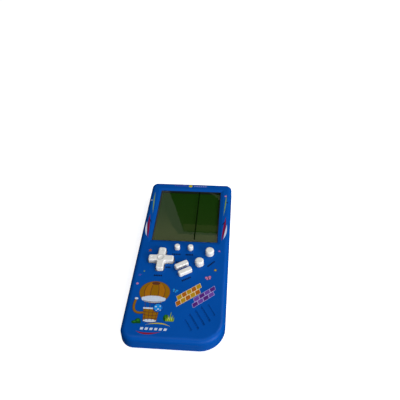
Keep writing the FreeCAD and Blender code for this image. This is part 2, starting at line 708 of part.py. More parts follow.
def lcd_frame():
    """The frame behind the display, with an ear at each screw and one cross bar."""
    low = DISPLAY_LOW + DISPLAY_LEDGE + 0.2
    frame = display_layer(low, FRAME_UNDERSIDE, REFLECTOR_UNDERSIDE)
    middle = (low + DISPLAY_HIGH) / 2
    side = DISPLAY_HALF - FRAME_BORDER
    bar = FRAME_BORDER / 2
    openings = [
        block(-side, side, low + FRAME_BORDER, middle - bar, 0, BODY_HEIGHT),
        block(-side, side, middle + bar, DISPLAY_HIGH - FRAME_BORDER, 0, BODY_HEIGHT),
    ]
    ears = []
    holes = []
    for x, y in FRAME_SCREWS:
        ear = rod(x, y, SMALL_POST_RADIUS, FRAME_UNDERSIDE, REFLECTOR_UNDERSIDE)
        inner = math.copysign(DISPLAY_HALF - 1, x)
        low_x, high_x = sorted((x, inner))
        neck = block(
            low_x, high_x, y - SMALL_POST_RADIUS, y + SMALL_POST_RADIUS, FRAME_UNDERSIDE, REFLECTOR_UNDERSIDE
        )
        ears += [ear, neck]
        holes.append(rod(x, y, SMALL_SCREW_RADIUS + SHANK_CLEARANCE, 0, BODY_HEIGHT))
    return joined([frame] + ears).cut(openings + holes)


def main_board():
    """The printed circuit board, cleared round the case bosses and drilled for its screws."""
    board = rounded_block(
        BOARD_LEFT, BOARD_RIGHT, BOARD_LOW, BOARD_HIGH, BOARD_CORNER, BOARD_UNDERSIDE, BOARD_TOP
    )
    cuts = [rod(x, y, BOSS_RADIUS + BOARD_BOSS_GAP, 0, BODY_HEIGHT) for x, y in CASE_SCREWS]
    cuts += [rod(x, y, SMALL_SCREW_RADIUS + SHANK_CLEARANCE, 0, BODY_HEIGHT) for x, y in BOARD_SCREWS]
    return board.cut(cuts)


def board_contacts():
    """The printed contact pads under the rubber domes."""
    radius = PILL_RADIUS + CONTACT_MARGIN
    return Part.makeCompound([rod(x, y, radius, BOARD_TOP, CONTACT_TOP) for x, y in PAD_DOMES + KEY_DOMES])


def controller_blob():
    """The epoxy drop over the bare game chip, under the board."""
    x = (BOARD_LEFT + BOARD_RIGHT) / 2 + 8
    y = (BOARD_LOW + BOARD_HIGH) / 2
    z = BOARD_UNDERSIDE
    drop = revolved(x, y, [(0, z), (5.2, z), (4.7, z - 0.6), (3.2, z - 1.1), (0, z - 1.3)])
    return drop


def smd_parts():
    """The small chip resistors and capacitors under the board."""
    x = (BOARD_LEFT + BOARD_RIGHT) / 2 - 6
    y = (BOARD_LOW + BOARD_HIGH) / 2 - 8
    chips = []
    for i in range(6):
        cx = x + (i % 3) * 3.6
        cy = y + (i // 3) * 5.0
        chips.append(block(cx, cx + 1.3, cy, cy + 2.0, BOARD_UNDERSIDE - 0.6, BOARD_UNDERSIDE))
    return Part.makeCompound(chips)


def electrolytic_capacitor():
    """The supply capacitor, lying on its side under the board."""
    radius = 1.6
    start = Vector(BOARD_LEFT + 8, BOARD_HIGH - 12, BOARD_UNDERSIDE - radius)
    can = Part.makeCylinder(radius, 5.5, start, Vector(0, 1, 0))
    return can.makeFillet(0.3, round_edges(can))


def dome(x, y, top):
    """One hollow rubber dome, standing on its web and carrying a pill under its roof."""
    roof = PILL_UNDERSIDE + PILL_THICKNESS
    return revolved(
        x,
        y,
        [
            (0, top),
            (DOME_TOP_RADIUS, top),
            (DOME_TOP_RADIUS, roof + DOME_ROOF_WALL),
            (DOME_BASE_RADIUS, WEB_TOP),
            (DOME_BASE_RADIUS, BOARD_TOP),
            (DOME_BASE_RADIUS - DOME_WALL, BOARD_TOP),
            (DOME_BASE_RADIUS - DOME_WALL, WEB_TOP - DOME_WALL / 3),
            (PILL_RADIUS, roof),
            (0, roof),
        ],
    )


def web(domes, paths):
    """A rubber web with a dome over each contact: straight strips from dome to dome."""
    strips = []
    for a, b in paths:
        (ax, ay), (bx, by) = domes[a], domes[b]
        length = math.hypot(bx - ax, by - ay) + WEB_WIDTH
        turn = math.degrees(math.atan2(by - ay, bx - ax))
        strips.append(
            stadium((ax + bx) / 2, (ay + by) / 2, length, WEB_WIDTH, turn, BOARD_TOP, WEB_TOP)
        )
    sheet = joined(strips)
    wells = [rod(x, y, DOME_BASE_RADIUS - DOME_WALL / 2, 0, BODY_HEIGHT) for x, y in domes]
    return joined([sheet.cut(wells)] + [dome(x, y, FLANGE_UNDERSIDE) for x, y in domes])


def pad_membrane():
    """The rubber under the pad, with four domes and a hole for the pivot."""
    sheet = web(PAD_DOMES, [(0, 2), (1, 3)])
    hole_radius = PIVOT_RADIUS + PIVOT_SEAT_WALL + PIVOT_WEB_GAP
    return sheet.cut(rod(PAD_X, PAD_Y, hole_radius, 0, BODY_HEIGHT))


def key_membrane():
    """The rubber under the six keys, one dome each."""
    return web(KEY_DOMES, [(0, 1), (1, 2), (2, 3), (3, 4), (4, 5)])


def carbon_pills():
    """The conductive pills under the dome roofs."""
    roof = PILL_UNDERSIDE + PILL_THICKNESS
    pills = [rod(x, y, PILL_RADIUS - 0.1, PILL_UNDERSIDE, roof) for x, y in PAD_DOMES + KEY_DOMES]
    return Part.makeCompound(pills)


def moulded_key(name):
    """A key: a plunger with a rounded crown, and the flange that keeps it in its sleeve."""
    key = KEYS[name]
    width, rise = key[3], key[5]
    top = BODY_HEIGHT + rise
    plunger = key_prism(key, 0, FLANGE_UNDERSIDE, top)
    plunger = plunger.makeFillet(width * CROWN_SHARE, edges_at(plunger, top))
    flange = key_prism(key, FLANGE_MARGIN, FLANGE_UNDERSIDE, FLANGE_TOP)
    return joined([plunger, flange])


def cross_pad():
    """The cross pad: a rounded cross with a dished middle, a wide flange and a ball socket below."""
    top = BODY_HEIGHT + PAD_RISE
    cross = cross_prism(0, FLANGE_UNDERSIDE, top)
    cross = cross.makeFillet(PAD_TOP_RADIUS, edges_at(cross, top))
    flange = cross_prism(PAD_GAP + FLANGE_MARGIN, FLANGE_UNDERSIDE, FLANGE_TOP)
    hub = rod(PAD_X, PAD_Y, PIVOT_RADIUS + PAD_HUB_WALL, PIVOT_HEIGHT, FLANGE_TOP)
    rim_top = top + PAD_RIM_RISE
    rim = rod(PAD_X, PAD_Y, PAD_DISH_RADIUS + PAD_RIM_WIDTH, FLANGE_TOP, rim_top)
    rim = rim.makeFillet(PAD_RIM_ROUNDING, edges_at(rim, rim_top))
    pad = joined([cross, flange, hub, rim])
    sphere_radius = (PAD_DISH_RADIUS**2 + PAD_DISH_DEPTH**2) / (2 * PAD_DISH_DEPTH)
    dish = Part.makeSphere(sphere_radius, Vector(PAD_X, PAD_Y, rim_top + sphere_radius - PAD_DISH_DEPTH))
    socket = Part.makeSphere(PIVOT_RADIUS + PIVOT_GAP, Vector(PAD_X, PAD_Y, PIVOT_HEIGHT))
    marks = []
    floor = top - PAD_MARK_DEPTH
    for quarter in range(4):
        tip = Vector(PAD_X + pad_reach(quarter) - PAD_MARK_MARGIN, PAD_Y, floor)
        left = tip + Vector(-PAD_MARK_LENGTH, PAD_MARK_WIDTH / 2, 0)
        right = tip + Vector(-PAD_MARK_LENGTH, -PAD_MARK_WIDTH / 2, 0)
        mark = Part.Face(Part.makePolygon([tip, left, right, tip])).extrude(Vector(0, 0, PAD_RISE))
        marks.append(turned(mark, PAD_X, PAD_Y, 90 * quarter))
    return pad.cut([dish, socket] + marks)


def pad_pivot_ball():
    """The ball that the pad rocks on."""
    return Part.makeSphere(PIVOT_RADIUS, Vector(PAD_X, PAD_Y, PIVOT_HEIGHT))


def pad_pivot_seat():
    """The ring on the board that keeps the ball in place."""
    seat = rod(PAD_X, PAD_Y, PIVOT_RADIUS + PIVOT_SEAT_WALL, BOARD_TOP, BOARD_TOP + PIVOT_SEAT_HEIGHT)
    return seat.cut(Part.makeSphere(PIVOT_RADIUS + PIVOT_SEAT_GAP, Vector(PAD_X, PAD_Y, PIVOT_HEIGHT)))


def sounder_disc():
    """The brass plate of the sounder."""
    top = FRONT_INNER - SOUNDER_CHAMBER
    return rod(SOUNDER_X, SOUNDER_Y, SOUNDER_RADIUS, top - SOUNDER_THICKNESS, top)


def sounder_ceramic():
    """The ceramic layer under the brass plate."""
    top = FRONT_INNER - SOUNDER_CHAMBER - SOUNDER_THICKNESS
    return rod(SOUNDER_X, SOUNDER_Y, CERAMIC_RADIUS, top - CERAMIC_THICKNESS, top)


def battery_cell(side):
    """One cell: a can with a nub. The two lie head to tail."""
    x = side * CELL_OFFSET
    radius = CELL_DIAMETER / 2
    tip = BAY_LOW + TERMINAL_THICKNESS + 2 * FIT_GAP
    direction = Vector(0, 1, 0)
    if side > 0:
        tip = BAY_HIGH - TERMINAL_THICKNESS - 2 * FIT_GAP
        direction = Vector(0, -1, 0)
    nub = Part.makeCylinder(CELL_NUB_RADIUS, CELL_NUB_LENGTH + 0.2, Vector(x, tip, CELL_AXIS), direction)
    base = Vector(x, tip, CELL_AXIS) + direction * CELL_NUB_LENGTH
    can = Part.makeCylinder(radius, CELL_LENGTH - CELL_NUB_LENGTH, base, direction)
    can = can.makeFillet(CELL_EDGE_RADIUS, round_edges(can))
    return joined([can, nub])


def cone_spring(x, base_y, direction):
    """A conical contact spring, wound from its base towards the cell."""
    centre_length = SPRING_LENGTH - SPRING_WIRE - FIT_GAP
    pitch = centre_length / SPRING_TURNS
    slope = math.degrees(math.atan(-SPRING_TAPER * SPRING_BASE_RADIUS / centre_length))
    helix = Part.makeLongHelix(pitch, centre_length, SPRING_BASE_RADIUS, slope)
    start = helix.Edges[0].valueAt(helix.Edges[0].FirstParameter)
    tangent = helix.Edges[0].tangentAt(helix.Edges[0].FirstParameter)
    section = Part.Wire([Part.makeCircle(SPRING_WIRE / 2, start, tangent)])
    coil = Part.Wire(helix.Edges).makePipeShell([section], True, True)
    coil.translate(Vector(0, 0, SPRING_WIRE / 2 + FIT_GAP / 2))
    coil.rotate(Vector(0, 0, 0), Vector(1, 0, 0), -90 if direction > 0 else 90)
    coil.translate(Vector(x, base_y, CELL_AXIS))
    return coil


def battery_springs():
    """The two springs: one at each end of the bay, each against the flat end of its cell."""
    upper = cone_spring(-CELL_OFFSET, BAY_HIGH - TERMINAL_THICKNESS - FIT_GAP, -1)
    lower = cone_spring(CELL_OFFSET, BAY_LOW + TERMINAL_THICKNESS + FIT_GAP, 1)
    return Part.makeCompound([upper, lower])


def plate(x0, x1, y, side):
    """A contact plate that stands against the end of the bay at y."""
    low = y + FIT_GAP if side > 0 else y - FIT_GAP - TERMINAL_THICKNESS
    z0 = CELL_AXIS - CELL_DIAMETER * PLATE_REACH_SHARE
    z1 = CELL_AXIS + CELL_DIAMETER * PLATE_REACH_SHARE
    return block(x0, x1, low, low + TERMINAL_THICKNESS, z0, z1)


def battery_link():
    """The plate at the lower end that joins the two cells in series."""
    half = CELL_OFFSET + CELL_DIAMETER * PLATE_REACH_SHARE
    return plate(-half, half, BAY_LOW, 1)


def battery_terminals():
    """The two separate plates at the upper end."""
    reach = CELL_DIAMETER * PLATE_REACH_SHARE
    left = plate(-CELL_OFFSET - reach, -CELL_OFFSET + reach, BAY_HIGH, -1)
    right = plate(CELL_OFFSET - reach, CELL_OFFSET + reach, BAY_HIGH, -1)
    return Part.makeCompound([left, right])


def screw(x, y, head_z, radius, length, head_radius, head_height):
    """A pan-head screw driven upwards, its head under head_z."""
    head = rod(x, y, head_radius, head_z - head_height, head_z)
    head = head.makeFillet(head_height * HEAD_ROUNDING_SHARE, edges_at(head, head_z - head_height))
    shank = rod(x, y, radius, head_z - head_height / 2, head_z + length)
    shank = shank.makeChamfer(radius * SHANK_CHAMFER_SHARE, edges_at(shank, head_z + length))
    return joined([head, shank])


def case_screws():
    """The six long screws that hold the shells together."""
    z = HEAD_RECESS + HEAD_HEIGHT
    return Part.makeCompound(
        [screw(x, y, z, SCREW_RADIUS, SCREW_LENGTH, HEAD_RADIUS, HEAD_HEIGHT) for x, y in CASE_SCREWS]
    )


def small_screws(places, z):
    """Small screws whose heads bear against height z from below."""
    return Part.makeCompound(
        [
            screw(x, y, z, SMALL_SCREW_RADIUS, SMALL_SCREW_LENGTH, SMALL_HEAD_RADIUS, SMALL_HEAD_HEIGHT)
            for x, y in places
        ]
    )


def all_nodes():
    """Every piece of the game, by name."""
    nodes = {
        "front_shell": front_shell(),
        "rear_shell": rear_shell(),
        "battery_door": battery_door(),
        "screen_bezel": screen_bezel(),
        "screen_window": screen_window(),
        "lcd_polariser": lcd_polariser(),
        "lcd_front_glass": lcd_front_glass(),
        "lcd_rear_glass": lcd_rear_glass(),
        "lcd_reflector": lcd_reflector(),
        "lcd_frame": lcd_frame(),
        "lcd_connector": lcd_connector(),
        "main_board": main_board(),
        "board_contacts": board_contacts(),
        "controller_blob": controller_blob(),
        "smd_parts": smd_parts(),
        "electrolytic_capacitor": electrolytic_capacitor(),
        "pad_membrane": pad_membrane(),
        "key_membrane": key_membrane(),
        "carbon_pills": carbon_pills(),
        "cross_pad": cross_pad(),
        "pad_pivot_ball": pad_pivot_ball(),
        "pad_pivot_seat": pad_pivot_seat(),
        "sounder_disc": sounder_disc(),
        "sounder_ceramic": sounder_ceramic(),
        "battery_cell_left": battery_cell(-1),
        "battery_cell_right": battery_cell(1),
        "battery_springs": battery_springs(),
        "battery_link": battery_link(),
        "battery_terminals": battery_terminals(),
        "case_screws": case_screws(),
        "lcd_frame_screws": small_screws(FRAME_SCREWS, FRAME_UNDERSIDE),
        "board_screws": small_screws(BOARD_SCREWS, BOARD_UNDERSIDE),
    }
    for name in KEYS:
        nodes[name] = moulded_key(name)
    return nodes


def main():
    os.makedirs("parts", exist_ok=True)
    for name, shape in all_nodes().items():
        shape.exportStep("parts/" + name + ".step")
        print(name, "solids", len(shape.Solids), "valid", shape.isValid(), "volume", round(shape.Volume, 1))


main()
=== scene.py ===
"""A handheld LCD block game lying on its back: finishes, printed decoration, display, light and camera."""
import json
import math

import bmesh
import bpy
from mathutils import Matrix, Vector


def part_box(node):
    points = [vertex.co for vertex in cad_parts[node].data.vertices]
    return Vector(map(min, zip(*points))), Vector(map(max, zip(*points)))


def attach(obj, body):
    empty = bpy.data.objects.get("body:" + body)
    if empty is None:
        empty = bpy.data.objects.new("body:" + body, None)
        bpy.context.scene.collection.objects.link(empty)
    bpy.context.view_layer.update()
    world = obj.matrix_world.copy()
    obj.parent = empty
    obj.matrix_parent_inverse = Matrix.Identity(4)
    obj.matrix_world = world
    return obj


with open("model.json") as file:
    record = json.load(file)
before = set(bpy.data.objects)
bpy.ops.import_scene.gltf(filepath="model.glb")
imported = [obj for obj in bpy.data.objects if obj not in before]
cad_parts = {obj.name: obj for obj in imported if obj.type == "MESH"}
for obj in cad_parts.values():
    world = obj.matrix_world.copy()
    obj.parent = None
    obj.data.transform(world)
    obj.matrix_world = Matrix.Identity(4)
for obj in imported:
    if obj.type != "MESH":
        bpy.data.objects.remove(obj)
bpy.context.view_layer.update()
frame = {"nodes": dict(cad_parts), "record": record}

MM = 0.001

# Front face of the case, where the printing lies
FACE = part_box("front_shell")[1].z
INK_SINK = 0.02 * MM
INK_LAYER = 0.004 * MM

# Painted shade: a dark ring in the pad's dish, where the shade of its edge falls
PAD_RING_RADIUS = 2.9 * MM
PAD_RING_WIDTH = 0.55 * MM

# Printed motifs, in millimetres on the face
STROKE_STEPS = 18
STAR_POINTS = 5
STAR_WAIST = 0.48
STAR_FILL = 0.62
BALL_LAYER = 60
BRICK_ROWS = 2
BRICK_EDGE = 0.26
LEGEND_PITCH = 1.5
STREAK_OUT = 34.4

# Sounder grille
GRILLE_TURN = -58.0
GRILLE_STEP = -0.85
GRILLE_PITCH = 5.45
GROOVE_LENGTH = 15.4
GROOVE_DEPTH = 0.5 * MM
FLOOR_WIDTH = 1.0
GROOVE_END = 1.0
HOLE_PITCH = 1.9
HOLE_RADIUS = 0.28

# Cells, which lie head to tail
CELL_BAND = 11.0 * MM
LEFT_NUB_LOW = True

# Case screws
CASE_SCREWS = [(-30.5, 81.8), (30.5, 81.8), (-32.4, 4.3), (32.4, 4.3), (-32.2, -72.0), (32.2, -60.0)]
CROSS_TURN = 20.0
CROSS_LENGTH = 2.4
CROSS_WIDTH = 0.55
CROSS_LOWER_BAR = 0.04
CROSS_UPPER_BAR = 0.06

# Studio
FLOOR_REACH = 4.0
FLOOR_DROP = 0.02 * MM
CARD_DISTANCE = 0.9
CARD_FADE_FROM = 0.84
CARD_FADE = 0.13

# Camera
CAMERA_PLACE = Vector((44.4, -269.9, 333.0)) * MM
CAMERA_HEADING = 5.91
CAMERA_DIP = 43.14
CAMERA_ROLL = -1.96
CAMERA_LENS = 42.74
CAMERA_SENSOR = 36.0

# Inks, as they look under the studio light
INKS = {
    "dark": (0.26, 0.20, 0.22),
    "shade": (0.0, 0.05, 0.17),
    "navy": (0.0, 0.15, 0.36),
    "orange": (0.53, 0.36, 0.0),
    "amber": (0.60, 0.38, 0.02),
    "brown": (0.34, 0.18, 0.12),
    "white": (0.74, 0.78, 0.85),
    "sky": (0.09, 0.50, 0.80),
    "deep": (0.03, 0.34, 0.68),
    "pink": (0.72, 0.45, 0.60),
    "crimson": (0.46, 0.04, 0.20),
    "red": (0.50, 0.08, 0.16),
    "gold": (0.70, 0.64, 0.06),
    "straw_gold": (0.66, 0.50, 0.06),
    "straw": (0.74, 0.78, 0.40),
    "lime": (0.45, 0.55, 0.10),
    "moss": (0.14, 0.42, 0.10),
    "leaf": (0.04, 0.27, 0.10),
    "violet": (0.38, 0.24, 0.58),
    "purple": (0.30, 0.12, 0.44),
    "lilac": (0.62, 0.60, 0.80),
    "tangerine": (0.62, 0.34, 0.04),
    "cream": (0.84, 0.78, 0.62),
}


def from_display(colour):
    """A display colour as a linear one, with full alpha."""
    linear = [c / 12.92 if c <= 0.04045 else ((c + 0.055) / 1.055) ** 2.4 for c in colour]
    return (*linear, 1.0)


class Wire:
    """A socket's output. Arithmetic on it adds Math nodes to its material."""

    def __init__(self, shader, socket):
        self.shader = shader
        self.socket = socket

    def math(self, operation, first, second=0.0):
        node = self.shader.node("ShaderNodeMath", {"operation": operation}, {0: first, 1: second})
        return node[0]

    def __add__(self, other):
        return self.math("ADD", self, other)

    def __radd__(self, other):
        return self.math("ADD", other, self)

    def __sub__(self, other):
        return self.math("SUBTRACT", self, other)

    def __rsub__(self, other):
        return self.math("SUBTRACT", other, self)

    def __mul__(self, other):
        return self.math("MULTIPLY", self, other)

    def __rmul__(self, other):
        return self.math("MULTIPLY", other, self)

    def __truediv__(self, other):
        return self.math("DIVIDE", self, other)

    def __rtruediv__(self, other):
        return self.math("DIVIDE", other, self)

    def __pow__(self, other):
        return self.math("POWER", self, other)

    def above(self, limit):
        return self.math("GREATER_THAN", self, limit)

    def below(self, limit):
        return self.math("LESS_THAN", self, limit)

    def fraction(self):
        return self.math("FRACT", self)


class Made:
    """A node that has been made, whose outputs are read by name or number."""

    def __init__(self, shader, node):
        self.shader = shader
        self.node = node

    def __getitem__(self, key):
        return Wire(self.shader, self.node.outputs[key])


class Shader:
    """A material with a Principled surface, and the one method that adds nodes to it."""

    def __init__(self, name):
        self.material = bpy.data.materials.new(name)
        self.material.use_nodes = True
        self.tree = self.material.node_tree
        self.tree.nodes.clear()
        self.surface = self.node("ShaderNodeBsdfPrincipled", {}, {})
        self.output = self.node("ShaderNodeOutputMaterial", {}, {"Surface": self.surface[0]})
        self.place = self.node("ShaderNodeTexCoord", {}, {})["Object"]

    def node(self, kind, settings, values):
        node = self.tree.nodes.new(kind)
        for key, value in settings.items():
            if key == "stops":
                ramp = node.color_ramp
                while len(ramp.elements) < len(value):
                    ramp.elements.new(0.5)
                for element, (position, colour) in zip(ramp.elements, value):
                    element.position = position
                    element.color = colour
            else:
                setattr(node, key, value)
        for key, value in values.items():
            self.put(node.inputs[key], value)
        return Made(self, node)

    def put(self, socket, value):
        if isinstance(value, Wire):
            self.tree.links.new(value.socket, socket)
        else:
            socket.default_value = value

    def set(self, **values):
        """Sets the surface's sockets, written with underscores for spaces."""
        for key, value in values.items():
            self.put(self.surface.node.inputs[key.replace("_", " ")], value)

    def noise(self, scale, detail=2.0, rough=0.5, stretch=None):
        """A value from 0 to 1 that varies over the object, with scale in features per metre."""
        place = self.place
        if stretch:
            place = self.node("ShaderNodeMapping", {}, {"Vector": place, "Scale": stretch})[0]
        values = {"Vector": place, "Scale": scale, "Detail": detail, "Roughness": rough}
        return self.node("ShaderNodeTexNoise", {}, values)["Fac"]

    def mix(self, amount, first, second):
        """A colour between two colours."""
        settings = {"data_type": "RGBA"}
        return self.node("ShaderNodeMix", settings, {0: amount, 6: first, 7: second})[2]

    def clamp(self, value, low, high):
        return self.node("ShaderNodeClamp", {}, {"Value": value, "Min": low, "Max": high})[0]

    def bump(self, height, strength, distance):
        values = {"Height": height, "Strength": strength, "Distance": distance}
        self.set(Normal=self.node("ShaderNodeBump", {}, values)[0])

    def axis(self, index):
        """One coordinate on the object, in metres."""
        return self.node("ShaderNodeSeparateXYZ", {}, {0: self.place})[index]


def scaled(colour, factor):
    """A colour made lighter or darker by a factor."""
    return (*[min(c * factor, 1.0) for c in colour[:3]], 1.0)


def scratches(shader):
    """A sparse mask of fine hairline scratches in two directions."""
    along = shader.noise(90.0, 3.0, 0.6, (1.0, 14.0, 1.0)).above(0.71)
    across = shader.noise(70.0, 3.0, 0.6, (12.0, 1.2, 1.0)).above(0.73)
    return along * 0.5 + across * 0.5


def moulded_plastic(name, colour, gloss, grain=1.0, mottle=0.05, wear=0.0):
    """Injection-moulded plastic: slight colour drift, fine grain, handling marks and a satin sheen."""
    shader = Shader(name)
    drift = shader.noise(45.0, 3.0) - 0.5
    speck = shader.noise(1900.0, 2.0, 0.6)
    cloud = shader.clamp(drift * 1.6 + speck * 0.25 + 0.38, 0.0, 1.0)
    base = shader.mix(cloud, scaled(colour, 1 - mottle), scaled(colour, 1 + mottle))
    rough = drift * 0.12 + speck * 0.06 + (gloss - 0.03)
    if wear:
        marks = scratches(shader) * wear
        base = shader.mix(marks * 0.35, base, scaled(colour, 1.5))
        rough = rough + marks * 0.25
    shader.set(Base_Color=base, Roughness=shader.clamp(rough, 0.08, 0.9))
    waves = shader.noise(160.0, 2.0) * 0.6 + speck * 0.4
    shader.bump(waves, 0.16 * grain, 0.04 * MM)
    return shader


def body_plastic(name, colour):
    """The case's blue plastic, with the fine moulded grain and the light handling marks of its faces."""
    shader = moulded_plastic(name, colour, 0.36, 1.0, 0.06, 0.35)
    shader.set(Specular_IOR_Level=0.08)
    return shader.material


def key_plastic(name, ring=None):
    """The keys' white plastic, a little warm, dulled by thumbs, with a ring of painted shade at the edge of the
    pad's dish.
    """
    shader = moulded_plastic(name, (0.76, 0.755, 0.73, 1.0), 0.33, 0.6, 0.03, 0.15)
    rub = shader.noise(240.0, 3.0)
    cloud = shader.noise(30.0, 2.0)
    tone = shader.clamp(rub * 0.5 + cloud * 0.5, 0.0, 1.0)
    base = shader.mix(tone, (0.68, 0.68, 0.665, 1), (0.755, 0.74, 0.71, 1))
    if ring:
        # Painted shade: darkens a thin ring at the dish's edge, standing in for the shade of the groove there
        centre, radius, width = ring
        across = (shader.axis(0) - centre.x) ** 2.0
        up = (shader.axis(1) - centre.y) ** 2.0
        distance = (across + up) ** 0.5
        off = (((distance - radius) / width) ** 2.0) * -1.0 + 1.0
        painted_groove_shade = shader.clamp(off, 0.0, 1.0) * (rub * 0.5 + 0.4)
        base = shader.mix(painted_groove_shade, base, (0.42, 0.43, 0.42, 1))
    shader.set(Base_Color=base)
    return shader.material


def plain_plastic(name, colour, gloss=0.45, sheen=0.5):
    """A plain moulded piece in one colour. Gloss is its roughness and sheen the strength of its reflections."""
    shader = moulded_plastic(name, (*colour, 1.0), gloss, 1.0, 0.08)
    shader.set(Specular_IOR_Level=sheen)
    return shader.material


def soft_rubber(name, colour):
    """Moulded silicone: matt, slightly cloudy, with a dusting of fine pits."""
    shader = Shader(name)
    cloud = shader.noise(120.0, 3.0)
    pits = shader.noise(2600.0, 1.0)
    base = shader.mix(cloud, scaled(colour, 0.86), scaled(colour, 1.1))
    shader.set(Base_Color=base, Roughness=shader.clamp(pits * 0.2 + 0.55, 0.3, 0.9))
    shader.bump(pits * 0.6 + cloud * 0.4, 0.25, 0.05 * MM)
    return shader.material


def worked_metal(name, colour, gloss, stretch=(1.0, 30.0, 1.0)):
    """Plated or rolled metal with fine drawn lines and a cloudy film."""
    shader = Shader(name)
    lines = shader.noise(160.0, 3.0, 0.6, stretch)
    film = shader.noise(90.0, 3.0)
    base = shader.mix(film * 0.6 + lines * 0.4, scaled(colour, 0.8), scaled(colour, 1.1))
    rough = lines * 0.18 + film * 0.12 + gloss
    shader.set(Base_Color=base, Roughness=shader.clamp(rough, 0.08, 0.8), Metallic=1.0)
    shader.bump(lines, 0.12, 0.03 * MM)
    return shader.material


def laminate(name):
    """The board's green solder mask, with copper tracks showing through as lighter green lines."""
    shader = Shader(name)
    tracks = shader.node(
        "ShaderNodeTexBrick",
        {"offset": 0.35, "squash": 1.4, "squash_frequency": 3},
        {"Vector": shader.place, "Scale": 160.0, "Mortar Size": 0.06, "Mortar Smooth": 0.1},
    )["Fac"]
    cloud = shader.noise(60.0, 3.0)
    mask = shader.mix(cloud, (0.012, 0.11, 0.03, 1), (0.02, 0.15, 0.045, 1))
    base = shader.mix(tracks * 0.7, mask, (0.05, 0.26, 0.07, 1))
    shader.set(Base_Color=base, Roughness=shader.clamp(cloud * 0.15 + 0.28, 0.1, 0.6))
    shader.bump(tracks, 0.3, 0.05 * MM)
    return shader.material


def clear_lens(name):
    """The clear lens: what is behind shows through, and the surface mirrors by its angle."""
    shader = Shader(name)
    smear = shader.noise(25.0, 4.0, 0.6)
    dust = shader.noise(3200.0, 1.0).above(0.74)
    rough = shader.clamp((smear - 0.5) * 0.05 + dust * 0.2, 0.0, 0.3)
    through = shader.node("ShaderNodeBsdfTransparent", {}, {"Color": (0.93, 0.96, 0.93, 1)})[0]
    gloss = shader.node("ShaderNodeBsdfAnisotropic", {}, {"Color": (1, 1, 1, 1), "Roughness": rough})[0]
    facing = shader.node("ShaderNodeFresnel", {}, {"IOR": 1.49})[0]
    outside = 1.0 - shader.node("ShaderNodeNewGeometry", {}, {})["Backfacing"]
    share = shader.clamp(facing + dust * 0.02, 0.0, 1.0) * outside
    both = shader.node("ShaderNodeMixShader", {}, {0: share, 1: through, 2: gloss})[0]
    shader.tree.nodes.remove(shader.surface.node)
    shader.put(shader.output.node.inputs["Surface"], both)
    return shader.material


def display_glass(name):
    """The bare display glass at the edges of the stack."""
    shader = Shader(name)
    cloud = shader.noise(80.0, 2.0)
    base = shader.mix(cloud, (0.30, 0.38, 0.32, 1), (0.36, 0.44, 0.38, 1))
    shader.set(Base_Color=base, Roughness=shader.clamp(cloud * 0.05 + 0.05, 0.03, 0.2), Alpha=0.45)
    return shader.material


def display_face(name):
    """The unlit display: olive film, a fine weave of electrodes, the ghosts of its cells, and a painted
    reflection haze that makes it lighter towards its lower end.
    """
    low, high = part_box("lcd_polariser")
    shader = Shader(name)
    x, y = shader.axis(0), shader.axis(1)
    column = (x - (low.x + 4.6 * MM)) / (3.3 * MM)
    row = (y - (low.y + 4.0 * MM)) / (3.1 * MM)
    cell_x, cell_y = column.fraction(), row.fraction()
    inside = cell_x.above(0.08) * cell_x.below(0.92) * cell_y.above(0.08) * cell_y.below(0.92)
    field = column.above(0.0) * column.below(10.0) * row.above(0.0) * row.below(20.0)
    ghost = inside * field
    # Painted reflection: this ramp blends from the lighter near tone at the lower end, a painted haze of
    # reflected light, to the darker far tone
    sheen = shader.clamp((y - low.y) / (high.y - low.y), 0.0, 1.0)
    weave = shader.noise(900.0, 2.0, 0.5, (1.0, 0.2, 1.0))
    cloud = shader.noise(18.0, 2.0)
    # near is the film tone with painted reflection haze added; far is the plain film tone
    near = (0.021, 0.048, 0.006, 1)
    far = (0.0095, 0.044, 0.0028, 1)
    tone = shader.mix(shader.clamp(sheen + (cloud - 0.5) * 0.5, 0, 1), near, far)
    cells = shader.mix(ghost * 0.07, tone, (0.002, 0.006, 0.001, 1))
    base = shader.mix(weave * 0.08, cells, (0.03, 0.07, 0.012, 1))
    shader.set(Base_Color=base, Roughness=shader.clamp(weave * 0.1 + 0.42, 0.2, 0.6), Specular_IOR_Level=0.05)
    return shader.material


def cell_wrap(name, nub_low):
    """A cell's printed film: dark body, a bright band at the nub end, and a fine metallic flake."""
    low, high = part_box("battery_cell_left")
    shader = Shader(name)
    y = shader.axis(1)
    band = y.below(low.y + CELL_BAND) if nub_low else y.above(high.y - CELL_BAND)
    flake = shader.noise(1500.0, 2.0)
    cloud = shader.noise(60.0, 2.0)
    dark = shader.mix(cloud, (0.03, 0.035, 0.05, 1), (0.05, 0.055, 0.075, 1))
    bright = shader.mix(cloud, (0.55, 0.33, 0.12, 1), (0.62, 0.40, 0.16, 1))
    base = shader.mix(band, dark, bright)
    shader.set(Base_Color=base, Metallic=0.5, Roughness=shader.clamp(flake * 0.2 + 0.22, 0.1, 0.6))
    shader.bump(flake, 0.1, 0.02 * MM)
    return shader.material


def ink(name):
    """Screen-printed ink: nearly flat, with the mottle and the soft sheen of the mesh it came through."""
    colour = from_display(INKS[name])
    shader = Shader("ink_" + name)
    mottle = shader.noise(700.0, 3.0)
    mesh = shader.noise(3500.0, 1.0)
    base = shader.mix(mottle, scaled(colour, 0.86), scaled(colour, 1.14))
    shader.set(Base_Color=base, Roughness=shader.clamp(mesh * 0.2 + 0.36, 0.2, 0.8))
    shader.set(Specular_IOR_Level=0.12)
    shader.bump(mesh, 0.12, 0.01 * MM)
    return shader.material


